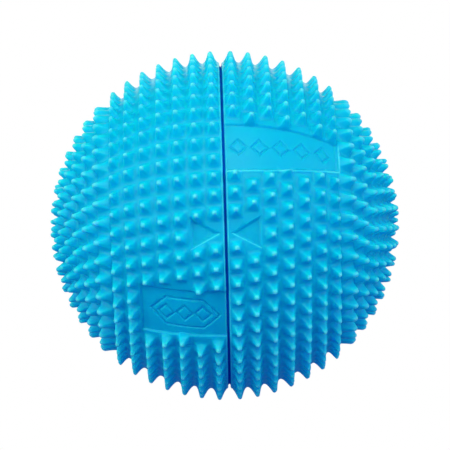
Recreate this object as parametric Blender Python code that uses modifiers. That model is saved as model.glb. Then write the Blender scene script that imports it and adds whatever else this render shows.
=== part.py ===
"""Two-part spiky massage ball with a smooth release ball nested inside.

Two textured half domes meet on the plane x = 0 and are held closed by disc magnets behind their
flat faces. Each half is a soft spiked cover over a rigid inner shell, closed by a face plate that
three screws hold. The middle of the plate is a bowl, and the two bowls hold the core ball, which
also centres the halves on each other.

Frame: origin at the ball's centre, +X along the pull-apart axis towards the right half, +Z up,
alignment arrows at the front, on the -Y side. Metres, and angles in degrees.
"""

import math

import bmesh
import bpy
from mathutils import Matrix, Vector

# ---- driving dimensions -------------------------------------------------------------------------
TIP_RADIUS = 0.0325            # the ball over its spikes
SPIKE_HEIGHT = 0.0021
COVER_THICKNESS = 0.0034       # under the spikes
SHELL_THICKNESS = 0.0022
CORE_RADIUS = 0.0120
GAP = 0.0003                   # clearance between pieces that touch
HALF_SEAM = 0.00022            # half the gap between the closed halves
RIM_CHAMFER = 0.0003

BASE_RADIUS = TIP_RADIUS - SPIKE_HEIGHT
COVER_INNER = BASE_RADIUS - COVER_THICKNESS
SHELL_OUTER = COVER_INNER - GAP
SHELL_INNER = SHELL_OUTER - SHELL_THICKNESS

# ---- spikes, in rings parallel to the seam; theta is counted from the seam towards the pole ------
RING_PITCH = 5.875
BAND_START = 3.35
BAND_COUNTS = (60, 58, 56, 54, 52, 50, 46)
BAND_MAX_LEAN = 26.0           # a band spike leans towards the pole no further than this
CAP_START = 46.1
CAP_COUNTS = (40, 36, 32, 26, 20, 14, 8, 3)
CAP_SHOULDER = 0.5             # a cap spike's seam side runs along X, up to this short of its foot
BASE_SHARE = 0.66              # share of the pitch that a spike's base takes
RIGHT_START = -58.6            # azimuth where every ring of the right half has a spike
LEFT_START = 27.6              # azimuth where every ring of the left half has a valley

# ---- recesses moulded in the covers -------------------------------------------------------------
RECESS_DEPTH = 0.0004
ARROW_APEX = 0.0010            # from the seam plane to an arrow's point
ARROW_LENGTH = 0.0052
ARROW_HALF_WIDTH = 0.0028
# A label panel runs from the seam out to reach, between two edges that start at the azimuths low
# and high and have moved by the drifts at its far end.
RIGHT_PANEL = {"low": 21.1, "low_drift": 5.1, "high": 38.9, "high_drift": 1.5, "reach": 0.0204}
LEFT_PANEL = {"low": -38.0, "low_drift": -3.4, "high": -19.9, "high_drift": 0.3, "reach": 0.0155}

# ---- face plate, bowl and screws ----------------------------------------------------------------
PLATE_THICKNESS = 0.0024
PLATE_RADIUS = 0.0250
PLATE_LEDGE = 0.0235           # inner radius of the shell's ledge behind the plate
BOWL_RADIUS = CORE_RADIUS + GAP
BOWL_WALL = 0.0016
FITTING_CIRCLE = 0.0190        # magnets and screws share this circle
SCREW_COUNT = 3
SCREW_HEAD = 0.0021
SCREW_SHANK = 0.0011
SCREW_LENGTH = 0.0085
SCREW_SINK = 0.0003            # the head sits this far below the flat face
POST_RADIUS = 0.0026
POST_END = 0.0150

# ---- magnets ------------------------------------------------------------------------------------
MAGNET_COUNT = 6
MAGNET_RADIUS = 0.0030
MAGNET_THICKNESS = 0.0030
MAGNET_SKIN = 0.0010           # plate material in front of a magnet
SOCKET_WALL = 0.0010

BACK_FACE = HALF_SEAM + PLATE_THICKNESS

# ---- resolution ---------------------------------------------------------------------------------
TURN_STEPS = 32
SMALL_STEPS = 12
CUTTER_OVERSHOOT = 0.0010


# ---- scene, materials and helpers ---------------------------------------------------------------
def clear_scene():
    for old in list(bpy.data.objects):
        bpy.data.objects.remove(old, do_unlink=True)


def new_collection(name):
    collection = bpy.data.collections.new(name)
    bpy.context.scene.collection.children.link(collection)
    return collection


def material(name, colour, roughness, metallic=0.0):
    made = bpy.data.materials.new(name)
    made.use_nodes = True
    shader = made.node_tree.nodes["Principled BSDF"]
    shader.inputs["Base Color"].default_value = (*colour, 1.0)
    shader.inputs["Roughness"].default_value = roughness
    shader.inputs["Metallic"].default_value = metallic
    made.diffuse_color = (*colour, 1.0)
    return made


def object_from_bmesh(name, bm, collection, finish=None):
    bmesh.ops.recalc_face_normals(bm, faces=bm.faces)
    mesh = bpy.data.meshes.new(name)
    bm.to_mesh(mesh)
    bm.free()
    if finish is not None:
        mesh.materials.append(finish)
    made = bpy.data.objects.new(name, mesh)
    collection.objects.link(made)
    return made


def arc(radius, start, end, segments):
    """Points (x, r) of an arc about the centre, from start to end degrees off the seam plane."""
    angles = [math.radians(start + (end - start) * i / segments) for i in range(segments + 1)]
    return [(radius * math.sin(a), radius * math.cos(a)) for a in angles]


def angle_at(radius, x):
    """Degrees off the seam plane where a sphere of this radius reaches x."""
    return math.degrees(math.asin(x / radius))


def turned(name, profile, collection, finish=None, steps=TURN_STEPS):
    """A solid turned about X from a closed profile of (x, r) points."""
    bm = bmesh.new()
    points = [bm.verts.new((x, 0.0, r)) for x, r in profile]
    for first, second in zip(points, points[1:] + points[:1]):
        bm.edges.new((first, second))
    bmesh.ops.spin(
        bm, geom=bm.verts[:] + bm.edges[:], cent=(0, 0, 0), axis=(1, 0, 0), angle=math.tau,
        steps=steps, use_merge=True)
    bmesh.ops.remove_doubles(bm, verts=bm.verts, dist=1e-7)
    bmesh.ops.dissolve_degenerate(bm, edges=bm.edges, dist=1e-8)
    return object_from_bmesh(name, bm, collection, finish)


def rod(name, radius, start, end, centre, collection):
    """A cylinder along X from start to end, its axis through centre, a (y, z) pair."""
    bm = bmesh.new()
    bmesh.ops.create_cone(bm, cap_ends=True, segments=SMALL_STEPS, radius1=radius,
                          radius2=radius, depth=end - start)
    turn = Matrix.Rotation(math.radians(90), 4, "Y")
    place = Matrix.Translation(((start + end) / 2, centre[0], centre[1]))
    bmesh.ops.transform(bm, matrix=place @ turn, verts=bm.verts)
    return object_from_bmesh(name, bm, collection)


def boolean(target, cutter, operation):
    modifier = target.modifiers.new(cutter.name, "BOOLEAN")
    modifier.operation = operation
    modifier.solver = "EXACT"
    modifier.object = cutter
    cutter.hide_render = True
    cutter.display_type = "WIRE"


def on_circle(radius, azimuth):
    """The (y, z) of a point on a circle about X; azimuth 0 is the front and 90 the top."""
    a = math.radians(azimuth)
    return (-radius * math.cos(a), radius * math.sin(a))


def magnet_azimuths():
    return [360.0 / MAGNET_COUNT * i for i in range(MAGNET_COUNT)]


def screw_azimuths():
    half_step = 180.0 / MAGNET_COUNT
    return [half_step + 360.0 / SCREW_COUNT * i for i in range(SCREW_COUNT)]


# ---- spiked cover -------------------------------------------------------------------------------
def on_sphere(radius, theta, azimuth):
    t = math.radians(theta)
    y, z = on_circle(radius * math.cos(t), azimuth)
    return Vector((radius * math.sin(t), y, z))


def band_feet(theta):
    """The thetas between which a band spike stands; its lean keeps its outer side square to X."""
    lean = math.radians(min(theta, BAND_MAX_LEAN))
    along = TIP_RADIUS * math.cos(lean - math.radians(theta))
    length = along - math.sqrt(along ** 2 - TIP_RADIUS ** 2 + BASE_RADIUS ** 2)
    x = TIP_RADIUS * math.sin(math.radians(theta)) - length * math.sin(lean)
    middle = angle_at(BASE_RADIUS, x)
    half = RING_PITCH * BASE_SHARE / 2
    return middle - half, middle + half


def cap_feet(theta):
    """The thetas between which a cap spike stands; its seam side runs no steeper than along X."""
    half = RING_PITCH * BASE_SHARE / 2
    level = math.degrees(math.acos(TIP_RADIUS * math.cos(math.radians(theta)) / BASE_RADIUS))
    return min(theta - half, level + CAP_SHOULDER), theta + half


def spike_rings():
    """(theta of the tips, thetas of the two feet, spike count) of each ring."""
    rings = []
    for k, count in enumerate(BAND_COUNTS):
        theta = BAND_START + RING_PITCH * k
        rings.append((theta, *band_feet(theta), count))
    for k, count in enumerate(CAP_COUNTS):
        theta = CAP_START + RING_PITCH * k
        rings.append((theta, *cap_feet(theta), count))
    return rings


def panel_edges(panel, x):
    share = (x / panel["reach"]) ** 2
    return panel["low"] + panel["low_drift"] * share, panel["high"] + panel["high_drift"] * share


def in_panel(theta, azimuth, panel):
    x = BASE_RADIUS * math.sin(math.radians(theta))
    low, high = panel_edges(panel, x)
    return x < panel["reach"] and low < azimuth < high


def in_arrow(theta, azimuth):
    """True where a spike would stand in the alignment arrow, which lies at azimuth 0."""
    x = BASE_RADIUS * math.sin(math.radians(theta))
    share = (x - ARROW_APEX) / ARROW_LENGTH
    if not 0.0 < share < 1.1:
        return False
    return BASE_RADIUS * math.radians(abs(azimuth)) < ARROW_HALF_WIDTH * share + 0.0004


def ring_row(bm, theta, azimuths):
    return [(a, bm.verts.new(on_sphere(BASE_RADIUS, theta, a))) for a in azimuths]


def turned_row(bm, x, radius, steps):
    return [(360.0 * i / steps, bm.verts.new((x, *on_circle(radius, 360.0 * i / steps))))
            for i in range(steps)]


def zip_rows(bm, near, far):
    """A strip of triangles between two closed rows of (azimuth, vertex), of unlike counts."""
    i = j = 0
    while i < len(near) or j < len(far):
        near_next = near[(i + 1) % len(near)][0] + 360.0 * ((i + 1) // len(near))
        far_next = far[(j + 1) % len(far)][0] + 360.0 * ((j + 1) // len(far))
        a, b = near[i % len(near)][1], far[j % len(far)][1]
        if j == len(far) or (i < len(near) and near_next <= far_next):
            i += 1
            bm.faces.new((a, near[i % len(near)][1], b))
        else:
            j += 1
            bm.faces.new((a, far[j % len(far)][1], b))


def close_pole(bm, row, x):
    pole = bm.verts.new((x, 0.0, 0.0))
    for (_, a), (_, b) in zip(row, row[1:] + row[:1]):
        bm.faces.new((a, b, pole))


def spike_ring(bm, ring, start, has_spike):
    """One ring of spikes on its strip of the base sphere; returns its two edge rows."""
    theta, low_foot, high_foot, count = ring
    step = 360.0 / count
    first = start % step
    edges = []
    for i in range(count):
        centre = first + step * i
        edges += [centre - step * BASE_SHARE / 2, centre + step * BASE_SHARE / 2]
    low = ring_row(bm, low_foot, edges)
    high = ring_row(bm, high_foot, edges)
    for i in range(2 * count):
        j = (i + 1) % (2 * count)
        face = bm.faces.new((low[i][1], low[j][1], high[j][1], high[i][1]))
        azimuth = (first + step * (i // 2) + 180.0) % 360.0 - 180.0
        if i % 2 == 0 and has_spike(theta, azimuth):
            poked = bmesh.ops.poke(bm, faces=[face])
            poked["verts"][0].co = on_sphere(TIP_RADIUS, theta, azimuth)
    return low, high


def cover_bmesh(start, has_spike):
    """The right-hand cover: spiked outside, plain inside, flat rim on the seam."""
    bm = bmesh.new()
    inner = [turned_row(bm, x, r, TURN_STEPS)
             for x, r in arc(COVER_INNER, 78.0, angle_at(COVER_INNER, HALF_SEAM), 6)]
    close_pole(bm, inner[0], COVER_INNER)
    for near, far in zip(inner, inner[1:]):
        zip_rows(bm, near, far)
    rim_steps = BAND_COUNTS[0]
    rim = turned_row(bm, HALF_SEAM, BASE_RADIUS - RIM_CHAMFER, rim_steps)
    shoulder = turned_row(bm, HALF_SEAM + RIM_CHAMFER, BASE_RADIUS, rim_steps)
    zip_rows(bm, inner[-1], rim)
    zip_rows(bm, rim, shoulder)
    last = shoulder
    for ring in spike_rings():
        low, high = spike_ring(bm, ring, start(ring[3]), has_spike)
        zip_rows(bm, last, low)
        last = high
    close_pole(bm, last, BASE_RADIUS)
    return bm


def sphere_patch(name, x_from, x_to, edges, collection):
    """A cutter for a shallow recess: a patch of the base sphere, made thick outwards.

    edges(x) gives the azimuths of the patch's two sides at a distance x from the seam plane.
    """
    bm = bmesh.new()
    columns, rows = 6, 4
    grid = []
    for i in range(columns + 1):
        x = x_from + (x_to - x_from) * i / columns
        low, high = edges(x)
        theta = angle_at(BASE_RADIUS, x)
        grid.append([bm.verts.new(on_sphere(BASE_RADIUS - RECESS_DEPTH, theta,
                                            low + (high - low) * j / rows))
                     for j in range(rows + 1)])
    for near, far in zip(grid, grid[1:]):
        for j in range(rows):
            bm.faces.new((near[j], near[j + 1], far[j + 1], far[j]))
    bmesh.ops.remove_doubles(bm, verts=bm.verts, dist=1e-6)
    cutter = object_from_bmesh(name, bm, collection)
    outwards = cutter.data.polygons[0].normal.dot(cutter.data.polygons[0].center) > 0
    thicken = cutter.modifiers.new("depth", "SOLIDIFY")
    thicken.thickness = RECESS_DEPTH + SPIKE_HEIGHT + CUTTER_OVERSHOOT
    thicken.offset = 1.0 if outwards else -1.0
    return cutter


def mirror_to_left(piece):
    """Turns a right-hand piece into the left-hand one by reflecting it in the seam plane."""
    bm = bmesh.new()
    bm.from_mesh(piece.data)
    bmesh.ops.scale(bm, vec=(-1, 1, 1), verts=bm.verts)
    bmesh.ops.recalc_face_normals(bm, faces=bm.faces)
    bm.to_mesh(piece.data)
    bm.free()


def build_cover(side, parts, cutters, finish):
    if side == "right":
        panel = RIGHT_PANEL

        def start(count):
            return RIGHT_START
    else:
        panel = LEFT_PANEL

        def start(count):
            return LEFT_START + 180.0 / count

    def has_spike(theta, azimuth):
        return not (in_panel(theta, azimuth, panel) or in_arrow(theta, azimuth))

    def arrow_edges(x):
        half = math.degrees(ARROW_HALF_WIDTH / BASE_RADIUS) * (x - ARROW_APEX) / ARROW_LENGTH
        return -half, half

    cover = object_from_bmesh(side + "_cover", cover_bmesh(start, has_spike), parts, finish)
    arrow = sphere_patch(side + "_arrow_recess", ARROW_APEX, ARROW_APEX + ARROW_LENGTH,
                         arrow_edges, cutters)
    label = sphere_patch(side + "_panel_recess", -CUTTER_OVERSHOOT, panel["reach"],
                         lambda x: panel_edges(panel, x), cutters)
    for piece in (cover, arrow, label) if side == "left" else ():
        mirror_to_left(piece)
    boolean(cover, arrow, "DIFFERENCE")
    boolean(cover, label, "DIFFERENCE")
    return cover


# ---- rigid inner shell --------------------------------------------------------------------------
def build_shell(side, parts, cutters, finish):
    """A dome with a ledge for the face plate and three posts for its screws."""
    ledge = BACK_FACE + GAP
    profile = arc(SHELL_OUTER, angle_at(SHELL_OUTER, HALF_SEAM), 90.0, 7)
    profile += arc(SHELL_INNER, 90.0, math.degrees(math.acos(PLATE_LEDGE / SHELL_INNER)), 6)
    profile += [(ledge, PLATE_LEDGE), (ledge, PLATE_RADIUS + GAP),
                (HALF_SEAM, PLATE_RADIUS + GAP)]
    shell = turned(side + "_shell", profile, parts, finish)
    for number, azimuth in enumerate(screw_azimuths(), 1):
        centre = on_circle(FITTING_CIRCLE, azimuth)
        name = f"{side}_post_{number}"
        post = rod(name, POST_RADIUS, ledge, POST_END, centre, cutters)
        hole_end = HALF_SEAM + SCREW_LENGTH + CUTTER_OVERSHOOT
        hole = rod(name + "_hole", SCREW_SHANK + GAP, 0.0, hole_end, centre, cutters)
        for cutter in (post, hole) if side == "left" else ():
            mirror_to_left(cutter)
        boolean(shell, post, "UNION")
        boolean(shell, hole, "DIFFERENCE")
    if side == "left":
        mirror_to_left(shell)
    return shell


# ---- face plate with its bowl -------------------------------------------------------------------
def build_face_plate(side, parts, cutters, finish):
    bowl_outer = BOWL_RADIUS + BOWL_WALL
    profile = [(HALF_SEAM, PLATE_RADIUS), (BACK_FACE, PLATE_RADIUS)]
    profile += arc(bowl_outer, angle_at(bowl_outer, BACK_FACE), 90.0, 6)
    profile += arc(BOWL_RADIUS, 90.0, angle_at(BOWL_RADIUS, HALF_SEAM), 7)
    plate = turned(side + "_face_plate", profile, parts, finish)
    socket_end = HALF_SEAM + MAGNET_SKIN + GAP + MAGNET_THICKNESS + GAP
    cuts = []
    for number, azimuth in enumerate(magnet_azimuths(), 1):
        centre = on_circle(FITTING_CIRCLE, azimuth)
        name = f"{side}_socket_{number}"
        pocket = MAGNET_RADIUS + GAP
        wall = rod(name, pocket + SOCKET_WALL, BACK_FACE - CUTTER_OVERSHOOT, socket_end, centre,
                   cutters)
        hollow = rod(name + "_hollow", pocket, HALF_SEAM + MAGNET_SKIN,
                     socket_end + CUTTER_OVERSHOOT, centre, cutters)
        cuts += [(wall, "UNION"), (hollow, "DIFFERENCE")]
    for number, azimuth in enumerate(screw_azimuths(), 1):
        centre = on_circle(FITTING_CIRCLE, azimuth)
        name = f"{side}_screw_hole_{number}"
        mouth = SCREW_HEAD + GAP + HALF_SEAM + SCREW_SINK
        bore = SCREW_SHANK + GAP
        end = BACK_FACE + CUTTER_OVERSHOOT
        hole = turned(name, [(0.0, 0.0), (0.0, mouth), (mouth - bore, bore), (end, bore),
                             (end, 0.0)], cutters, steps=SMALL_STEPS)
        hole.data.transform(Matrix.Translation((0.0, *centre)))
        cuts.append((hole, "DIFFERENCE"))
    for cutter, operation in cuts:
        if side == "left":
            mirror_to_left(cutter)
        boolean(plate, cutter, operation)
    if side == "left":
        mirror_to_left(plate)
    return plate


# ---- small parts --------------------------------------------------------------------------------
def build_magnets(side, parts, finish):
    """Discs in the sockets; one half's row of poles is the other's reversed, which keys them."""
    sign = 1.0 if side == "right" else -1.0
    middle = HALF_SEAM + MAGNET_SKIN + GAP + MAGNET_THICKNESS / 2
    bm = bmesh.new()
    bmesh.ops.create_cone(
        bm, cap_ends=True, segments=SMALL_STEPS, radius1=MAGNET_RADIUS, radius2=MAGNET_RADIUS,
        depth=MAGNET_THICKNESS)
    bmesh.ops.rotate(bm, cent=(0, 0, 0), matrix=Matrix.Rotation(math.radians(90), 3, "Y"),
                     verts=bm.verts)
    disc = None
    for number, azimuth in enumerate(magnet_azimuths(), 1):
        name = f"{side}_magnet_{number}"
        if disc is None:
            magnet = object_from_bmesh(name, bm, parts, finish)
            disc = magnet.data
        else:
            magnet = bpy.data.objects.new(name, disc)
            parts.objects.link(magnet)
        magnet.location = (sign * middle, *on_circle(FITTING_CIRCLE, azimuth))


def build_screws(side, parts, finish):
    """Countersunk screws that go in from the flat face."""
    cone = SCREW_HEAD - SCREW_SHANK
    tip = 0.0012
    profile = [(0.0, 0.0), (0.0, SCREW_HEAD), (cone, SCREW_SHANK),
               (SCREW_LENGTH - tip, SCREW_SHANK), (SCREW_LENGTH, 0.0)]
    face = HALF_SEAM + SCREW_SINK
    for number, azimuth in enumerate(screw_azimuths(), 1):
        screw = turned(f"{side}_screw_{number}", profile, parts, finish, steps=12)
        if side == "left":
            mirror_to_left(screw)
        sign = 1.0 if side == "right" else -1.0
        screw.location = (sign * face, *on_circle(FITTING_CIRCLE, azimuth))


def build_core_ball(parts, finish):
    bm = bmesh.new()
    bmesh.ops.create_uvsphere(bm, u_segments=28, v_segments=14, radius=CORE_RADIUS)
    return object_from_bmesh("core_ball", bm, parts, finish)


# ---- the whole object ---------------------------------------------------------------------------
def main():
    clear_scene()
    parts = new_collection("massage_ball")
    cutters = new_collection("cutters")
    soft_blue = material("soft_blue", (0.0, 0.42, 0.72), 0.5)
    dark_blue = material("dark_blue", (0.01, 0.06, 0.20), 0.5)
    pale_grey = material("pale_grey", (0.55, 0.58, 0.60), 0.45)
    nickel = material("nickel", (0.72, 0.71, 0.68), 0.25, 1.0)
    steel = material("steel", (0.55, 0.55, 0.56), 0.35, 1.0)
    core_blue = material("core_blue", (0.0, 0.30, 0.60), 0.4)
    for side in ("left", "right"):
        build_cover(side, parts, cutters, soft_blue)
        build_shell(side, parts, cutters, dark_blue)
        build_face_plate(side, parts, cutters, pale_grey)
        build_magnets(side, parts, nickel)
        build_screws(side, parts, steel)
    build_core_ball(parts, core_blue)


main()
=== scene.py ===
"""Looks of the two-part spiky massage ball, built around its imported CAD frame.

Both soft covers are modelled again with rounded spikes, a seam with soft lips, and recessed
panels and arrows. The pieces inside, which show when the ball is open, are modelled again with
their edges broken and their small features. Metres, and angles in degrees. The origin is the
ball's centre, +X is the pull-apart axis, +Z is up, and the alignment arrows are at the front, on
the -Y side.
"""

import math
import random

import bmesh
import bpy
from mathutils import Matrix, Vector, noise


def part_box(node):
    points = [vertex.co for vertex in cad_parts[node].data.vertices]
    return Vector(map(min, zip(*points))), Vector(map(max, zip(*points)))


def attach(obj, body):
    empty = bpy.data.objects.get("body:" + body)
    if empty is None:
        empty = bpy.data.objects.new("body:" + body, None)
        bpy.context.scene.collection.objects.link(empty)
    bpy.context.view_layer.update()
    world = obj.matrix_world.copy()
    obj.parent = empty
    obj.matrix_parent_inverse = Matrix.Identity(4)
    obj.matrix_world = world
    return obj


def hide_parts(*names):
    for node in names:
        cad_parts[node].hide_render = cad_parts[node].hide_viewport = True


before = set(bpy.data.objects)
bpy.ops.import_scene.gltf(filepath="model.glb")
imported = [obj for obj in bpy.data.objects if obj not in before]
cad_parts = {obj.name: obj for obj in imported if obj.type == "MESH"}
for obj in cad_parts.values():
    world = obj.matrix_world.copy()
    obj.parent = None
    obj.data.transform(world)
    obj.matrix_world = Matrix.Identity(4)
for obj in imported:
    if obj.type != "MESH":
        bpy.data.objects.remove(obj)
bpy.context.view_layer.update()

SIDES = {"right": 1.0, "left": -1.0}     # each half, and the sign of its x

# ---- cover, in the CAD model's measures ---------------------------------------------------------
TIP_RADIUS = 0.0325
SPIKE_HEIGHT = 0.0021
BASE_RADIUS = TIP_RADIUS - SPIKE_HEIGHT
COVER_THICKNESS = 0.0034
COVER_INNER = BASE_RADIUS - COVER_THICKNESS
HALF_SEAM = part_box("right_cover")[0].x   # half the width of the seam's groove

# Spikes stand in rings parallel to the seam. Theta is counted from the seam towards the pole.
RING_PITCH = 5.875
BAND_START = 3.35
BAND_COUNTS = (60, 58, 56, 54, 52, 50, 46)
BAND_MAX_LEAN = 20.0     # a band spike's axis turns no further off the seam plane (CAD model: 26)
CAP_START = 46.1
CAP_COUNTS = (40, 36, 32, 26, 20, 14, 8, 3)
# Where the rings start: the azimuth of a spike on the right half, and of a valley on the left.
RING_START = {"right": -58.6, "left": 27.6}

# ---- seam, finer than in the CAD model ----------------------------------------------------------
RIM_ROUND = 0.0003
# Steps round the seam's rounded lips: (share of the quarter turn, strength of the painted highlight
# there).
SEAM_LIP = ((0.0, 0.0), (0.3, 0.0), (0.6, 0.45), (0.85, 0.45), (1.0, 0.0))
CONTACT_RADIUS = 0.0295  # inside this the two rims all but touch when the ball is closed
HALF_CONTACT = 0.000003  # half the distance left between them
GROOVE_SHADE_MASK = "groove_painted_shade"  # mesh attribute: 1 on the slanted floor of the groove, where a painted shade is laid
GROOVE_EDGE = 0.00002    # it falls to 0 over this distance past the floor's edges
INNER_POLE = 86.0        # theta where the cover's inner surface closes to a point

# ---- spikes, finer than in the CAD model --------------------------------------------------------
FOOT_SHARE = 0.70        # share of the pitch between the straight sides' feet
TIP_ROUND = 0.19         # radius of the tip, as a share of the spike's height
TIP_LOOPS = (1.0, 0.7, 0.36)    # loops on the tip's ball, as shares of the turn down from its top
FILLET = 0.40            # half width of the fillet round a foot, as a share of its half width
BAND_SQUARENESS = (3.8, 3.6)    # exponents of a band spike's section at its foot and near its tip
CAP_SQUARENESS = (3.4, 3.0)     # the same for the cap's rounder spikes
SIDE_POINT = 0.85        # where a loop's rounded corner begins, as a share of the half side
TIP_SCATTER = 0.00004    # moulding and wear leave the tips this far off their places
CELL_MARGIN = 0.05       # degrees kept between a cell and the line between two rings
APEX_ROUNDS = 8          # rounds of the search for the point that the tip's ball is cut from
# A loop has 16 points. These run along its sides: the one towards the next spike of the ring, the
# one towards the spike before, the one towards the seam and the one towards the pole.
NEXT_SIDE = (8, 7, 6, 5, 4)
LAST_SIDE = (12, 13, 14, 15, 0)
SEAM_SIDE = (12, 11, 10, 9, 8)
POLE_SIDE = (0, 1, 2, 3, 4)

# ---- recesses in the cover ----------------------------------------------------------------------
PANEL_DEPTH = 0.0004
PANEL_WALL = 0.00020
ARROW_DEPTH = 0.0005
ARROW_WALL = 0.00034
ARROW_APEX = 0.0010
ARROW_LENGTH = 0.0052
ARROW_HALF_WIDTH = 0.0028
ARROW_CLEARANCE = 0.0006        # no spike stands this close to an arrow
LIP = 0.00010            # rounding at the top and the foot of a recess's wall
WALL_DEPTHS = (0.16, 0.55, 0.9)    # shares of a recess's depth at its wall's top, middle and foot
# The low rim along the right panel's lower wall and end: (distance inside, share of its height).
RAISED_RIM = ((-0.00046, 0.0), (-0.00036, 0.5), (-0.00025, 1.0), (-0.00016, 0.8), (-0.00008, 0.4))
RAISED_RIM_HEIGHT = 0.00020
RIM_FADE = 0.0010        # the rim dies out over this distance towards the upper wall
EDGE_HIGHLIGHT = "painted_edge_highlight"     # mesh attribute: how strong a painted highlight is on a raised or rounded edge
CREST_PATCHES = 350.0    # how often per metre the rim's painted highlight comes and goes
CREST_MEAN = 0.7
CREST_SWING = 1.2
# strength of the painted highlight on the arrows' lower lips
ARROW_LIP_HIGHLIGHT = 0.6
EDGE_REACH = 0.0007      # how far outside a recess its surroundings are cut finer
# A panel reaches from the seam to x = reach, between two walls parallel to X. A wall starts at an
# azimuth at the seam, and its plane slopes along the second azimuth.
PANELS = {
    "right": {"low": (21.1, 7.0), "high": (38.9, 34.6), "reach": 0.0204},
    "left": {"low": (-38.0, -17.5), "high": (-19.9, -20.5), "reach": 0.0155},
}
# Engraved diamonds stand in for the marks on the panels, each at its x from the seam plane. Those
# on the left stand in a long hexagonal frame.
DIAMONDS = {"right": (0.0027, 0.0065, 0.0103, 0.0141, 0.0179), "left": (0.0045, 0.0078, 0.0111)}
DIAMOND_HALF_DIAGONAL = 0.0018
FRAME_X = 0.0078
FRAME_HALF_LENGTH = 0.0066
FRAME_HALF_HEIGHT = 0.0031
MARK_DEPTH = 0.00022
MARK_LINE = 0.00040      # width of an engraved line
MARK_WALL = 0.00010
MARK_LIP = 0.00004
MARK_REACH = 0.0035      # a facet of a panel's floor is no longer than this

# ---- pieces inside, as in the CAD model ---------------------------------------------------------
GAP = 0.0003
SHELL_THICKNESS = 0.0022
SHELL_OUTER = COVER_INNER - GAP
SHELL_INNER = SHELL_OUTER - SHELL_THICKNESS
CORE_RADIUS = 0.0120
PLATE_RADIUS = 0.0250
PLATE_LEDGE = 0.0235
PLATE_THICKNESS = 0.0024
PLATE_SKIN = 0.0010                      # what is left of the plate in front of a magnet
BACK_FACE = HALF_SEAM + PLATE_THICKNESS
BOWL_THICKNESS = 0.0016
BOWL_RADIUS = CORE_RADIUS + GAP
BOWL_OUTER = BOWL_RADIUS + BOWL_THICKNESS
SCREWS = 3
SCREW_HEAD = 0.0021
SCREW_SHANK = 0.0011
SCREW_LENGTH = 0.0085
SCREW_TIP = 0.0012                       # length of the tapered end
SCREW_TIP_RADIUS = 0.0003
POST_RADIUS = 0.0026
POST_END = 0.0150
MAGNETS = 6
MAGNET_RADIUS = 0.0030
MAGNET_THICKNESS = 0.0030
MAGNET_FACE = HALF_SEAM + PLATE_SKIN     # where a magnet's socket begins
SOCKET_WALL = 0.0010
OVERSHOOT = 0.0010                       # how far a cutter runs past the surface that it cuts

# ---- their finer detail -------------------------------------------------------------------------
EDGE_BREAK = 0.00025
BOWL_LIP = 0.0005
HEAD_BREAK = 0.0001                      # a screw head's edge is broken from this far in
HEAD_BREAK_LOW = 0.00004                 # and at the same depth it is still this far in
THREAD_PITCH = 0.0008
THREAD_DEPTH = 0.00022
CROSS_REACH = 0.0012                     # half the length of the cross recess in a screw's head
CROSS_HALF_WIDTH = 0.00032
CROSS_DEPTH = 0.0011
CROSS_FOOT = (0.4, 0.8)                  # shares of its length and width at its foot
CROSS_ABOVE = (1.4, 1.2)                 # the same as far above the head as the foot is below it
PARTING_DEPTH = 0.00006                  # the fine parting line round the core ball
PARTING_HALF_WIDTH = 0.00014

# ---- resolution ---------------------------------------------------------------------------------
RIM_STEPS = 240
INNER_STEPS = 96
TURN_STEPS = 128
SMALL_STEPS = 40
COVER_ARC_STEPS = 18         # steps along an arc between the seam and the pole
SHELL_ARC_STEPS = 32
SHELL_INNER_ARC_STEPS = 28
BOWL_ARC_STEPS = 28
BOWL_OUTER_ARC_STEPS = 24
CORE_ARC_STEPS = 32
BREAK_STEPS = 4              # steps round a broken edge
SCREW_TIP_STEPS = 6
THREAD_STEPS = 8             # steps along one turn of the thread
SHARP_ANGLE = 50.0           # edges that turn by more than this are shaded sharp
SCREW_SHARP_ANGLE = 35.0
PLATE_SHARP_ANGLE = 30.0
ROUND_OFF = 1e-6
CUT_ROUND_OFF = 1e-7
LIP_MARGIN = 1e-5            # the groove's walls begin this far below the seam's lips


# ---- geometry helpers ---------------------------------------------------------------------------
def on_circle(radius, azimuth):
    """The (y, z) of a point on a circle about X; azimuth 0 is the front and 90 the top."""
    a = math.radians(azimuth)
    return (-radius * math.cos(a), radius * math.sin(a))


def on_sphere(radius, theta, azimuth):
    t = math.radians(theta)
    return Vector((radius * math.sin(t), *on_circle(radius * math.cos(t), azimuth)))


def angle_at(radius, x):
    """Degrees off the seam plane where a sphere of this radius reaches x."""
    return math.degrees(math.asin(x / radius))


def arc(radius, start, end, segments):
    """Points (x, r) of an arc about the centre, from start to end degrees off the seam plane."""
    angles = [math.radians(start + (end - start) * i / segments) for i in range(segments + 1)]
    return [(radius * math.sin(a), radius * math.cos(a)) for a in angles]


def turned_row(bm, x, radius, steps):
    return [(360.0 * i / steps, bm.verts.new((x, *on_circle(radius, 360.0 * i / steps))))
            for i in range(steps)]


def zip_rows(bm, near, far):
    """A strip of triangles between two closed rows of (azimuth, vertex), of unlike counts."""
    i = j = 0
    while i < len(near) or j < len(far):
        near_next = near[(i + 1) % len(near)][0] + 360.0 * ((i + 1) // len(near))
        far_next = far[(j + 1) % len(far)][0] + 360.0 * ((j + 1) // len(far))
        a, b = near[i % len(near)][1], far[j % len(far)][1]
        if j == len(far) or (i < len(near) and near_next <= far_next):
            i += 1
            bm.faces.new((a, near[i % len(near)][1], b))
        else:
            j += 1
            bm.faces.new((a, far[j % len(far)][1], b))


def close_pole(bm, row, x):
    pole = bm.verts.new((x, 0.0, 0.0))
    for (_, a), (_, b) in zip(row, row[1:] + row[:1]):
        bm.faces.new((a, b, pole))


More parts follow.
